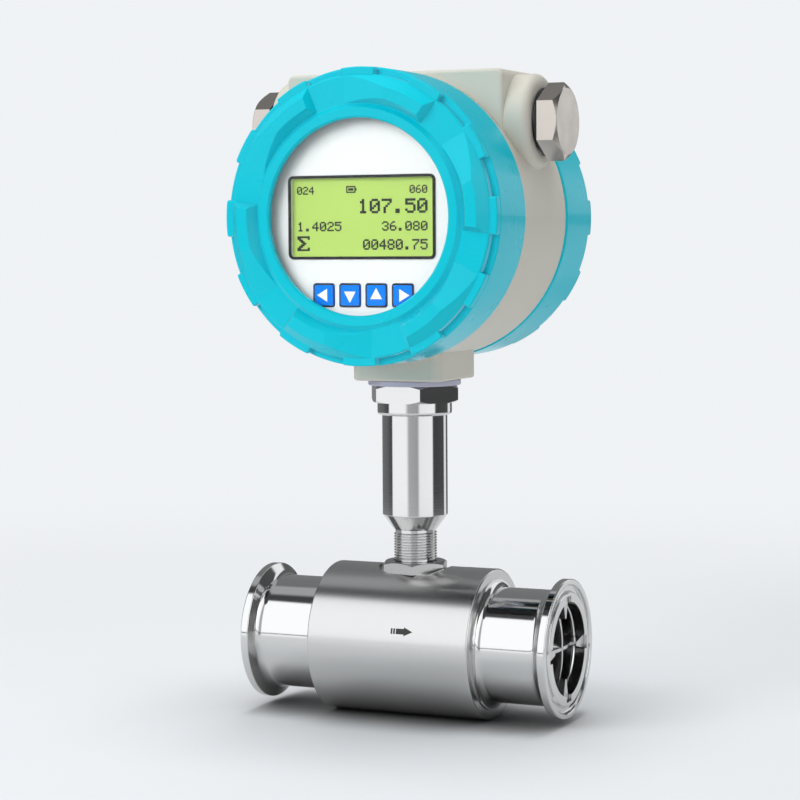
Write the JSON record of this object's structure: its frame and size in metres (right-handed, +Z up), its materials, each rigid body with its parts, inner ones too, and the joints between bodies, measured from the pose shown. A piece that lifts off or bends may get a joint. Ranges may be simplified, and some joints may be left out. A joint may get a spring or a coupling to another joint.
{
  "type": "turbine flow meter",
  "caption": "Turbine flow meter with clamp ferrules, a helical-bladed rotor, a screwed stem and a round display head with lobed screw covers.",
  "frame": {"origin": "centre of the inlet ferrule's gasket face, on the pipe's axis", "axes": "+X along the pipe in the direction of flow, +Z up through the stem and head, -Y the side of the display"},
  "size_m": [0.12, 0.1032, 0.2345],
  "materials": {
    "stainless_turned": "fine-turned stainless steel, semi-bright",
    "stainless_polished": "polished stainless steel",
    "nickel_plate": "nickel plate with a warm tint, fine brushed",
    "turquoise_paint": "glossy turquoise paint on cast aluminium",
    "stone_paint": "semi-gloss stone-grey powder coat on cast aluminium",
    "nylon": "pale grey nylon",
    "black_rubber": "glossy black rubber",
    "window": "clear toughened glass",
    "dial_white": "white printed sheet",
    "lcd": "green display cell with black segments",
    "gloss_black": "gloss black moulding",
    "key_blue": "blue key cap with a white arrow",
    "case_black": "black moulded nylon",
    "circuit_board": "green circuit board",
    "terminal_grey": "green moulded terminal strip",
    "brass": "turned brass",
    "zinc_screw": "zinc-plated steel",
    "cell_wrap": "shrink-wrapped lithium cell",
    "copper_winding": "enamelled copper winding",
    "soft_iron": "soft iron",
    "magnet_steel": "sintered magnet, nickel plated",
    "bearing": "tungsten carbide, ground",
    "grey_lead": "grey screened lead"
  },
  "bodies": {
    "pipe": {"flow_body": "stainless_turned", "inlet_ferrule": "stainless_polished", "outlet_ferrule": "stainless_polished", "inlet_guide": "stainless_turned", "outlet_guide": "stainless_turned", "inlet_snap_ring": "stainless_polished", "outlet_snap_ring": "stainless_polished", "inlet_bush": "bearing", "outlet_bush": "bearing"},
    "rotor": {"rotor": "stainless_turned", "rotor_shaft": "bearing"},
    "head": {"sensor_tube": "stainless_turned", "stem_adapter": "stainless_turned", "stem_washer": "nylon", "pickup_core": "soft_iron", "pickup_coil": "copper_winding", "pickup_magnet": "magnet_steel", "preamp_board": "circuit_board", "sensor_lead": "grey_lead", "housing": "stone_paint", "dial_plate": "dial_white", "lcd_panel": "lcd", "lcd_frame": "gloss_black", "display_board": "circuit_board", "module_case": "case_black", "module_pillars": "brass", "module_screws": "zinc_screw", "terminal_board": "circuit_board", "board_posts": "brass", "board_screws": "zinc_screw", "terminal_block": "terminal_grey", "terminal_screws": "zinc_screw", "battery_cell": "cell_wrap", "battery_clip": "case_black"},
    "lock_nut": {"lock_nut": "stainless_turned"},
    "front_cover_seal": {"front_cover_seal": "black_rubber"},
    "front_cover": {"front_cover": "turquoise_paint", "window_glass": "window", "window_gasket": "black_rubber", "glass_lock_ring": "gloss_black"},
    "rear_cover_seal": {"rear_cover_seal": "black_rubber"},
    "rear_cover": {"rear_cover": "turquoise_paint"},
    "left_plug_seal": {"left_plug_seal": "black_rubber"},
    "left_plug": {"left_plug": "nickel_plate"},
    "right_plug_seal": {"right_plug_seal": "black_rubber"},
    "right_plug": {"right_plug": "nickel_plate"},
    "key_left": {"key_left": "key_blue"},
    "key_down": {"key_down": "key_blue"},
    "key_up": {"key_up": "key_blue"},
    "key_right": {"key_right": "key_blue"}
  },
  "joints": [
    {"name": "rotor_spin", "type": "hinge", "parent": "pipe", "child": "rotor", "pos_m": [0.06, 0, 0], "axis": [1, 0, 0], "continuous": true},
    {"name": "head_swivel", "type": "hinge", "parent": "pipe", "child": "head", "pos_m": [0.06, 0, 0.03], "axis": [0, 0, 1], "range_deg": [-180, 180]},
    {"name": "lock_nut_turn", "type": "hinge", "parent": "head", "child": "lock_nut", "pos_m": [0.06, 0, 0.0273], "axis": [0, 0, 1], "range_deg": [0, 360]},
    {"name": "front_cover_travel", "type": "slide", "parent": "head", "child": "front_cover_seal", "axis": [0, -1, 0], "range_m": [0, 0.012]},
    {"name": "front_cover_turn", "type": "hinge", "parent": "front_cover_seal", "child": "front_cover", "pos_m": [0.06, 0, 0.155], "axis": [0, -1, 0], "range_deg": [0, 2160]},
    {"name": "rear_cover_travel", "type": "slide", "parent": "head", "child": "rear_cover_seal", "axis": [0, 1, 0], "range_m": [0, 0.012]},
    {"name": "rear_cover_turn", "type": "hinge", "parent": "rear_cover_seal", "child": "rear_cover", "pos_m": [0.06, 0, 0.155], "axis": [0, 1, 0], "range_deg": [0, 2160]},
    {"name": "left_plug_travel", "type": "slide", "parent": "head", "child": "left_plug_seal", "axis": [-1, 0, 0], "range_m": [0, 0.012]},
    {"name": "left_plug_turn", "type": "hinge", "parent": "left_plug_seal", "child": "left_plug", "pos_m": [0.06, 0, 0.1885], "axis": [-1, 0, 0], "range_deg": [0, 2880]},
    {"name": "right_plug_travel", "type": "slide", "parent": "head", "child": "right_plug_seal", "axis": [1, 0, 0], "range_m": [0, 0.012]},
    {"name": "right_plug_turn", "type": "hinge", "parent": "right_plug_seal", "child": "right_plug", "pos_m": [0.06, 0, 0.1885], "axis": [1, 0, 0], "range_deg": [0, 2880]},
    {"name": "key_left_press", "type": "slide", "parent": "head", "child": "key_left", "axis": [0, 1, 0], "range_m": [0, 0.0005], "stiffness_N_per_m": 500, "springref_m": -0.001},
    {"name": "key_down_press", "type": "slide", "parent": "head", "child": "key_down", "axis": [0, 1, 0], "range_m": [0, 0.0005], "stiffness_N_per_m": 500, "springref_m": -0.001},
    {"name": "key_up_press", "type": "slide", "parent": "head", "child": "key_up", "axis": [0, 1, 0], "range_m": [0, 0.0005], "stiffness_N_per_m": 500, "springref_m": -0.001},
    {"name": "key_right_press", "type": "slide", "parent": "head", "child": "key_right", "axis": [0, 1, 0], "range_m": [0, 0.0005], "stiffness_N_per_m": 500, "springref_m": -0.001}
  ],
  "couplings": [
    {"joint": "front_cover_travel", "follows": "front_cover_turn", "m_per_rad": 0.0003183},
    {"joint": "rear_cover_travel", "follows": "rear_cover_turn", "m_per_rad": 0.0003183},
    {"joint": "left_plug_turn", "follows": "left_plug_travel", "rad_per_m": 4188.8},
    {"joint": "right_plug_turn", "follows": "right_plug_travel", "rad_per_m": 4188.8}
  ]
}
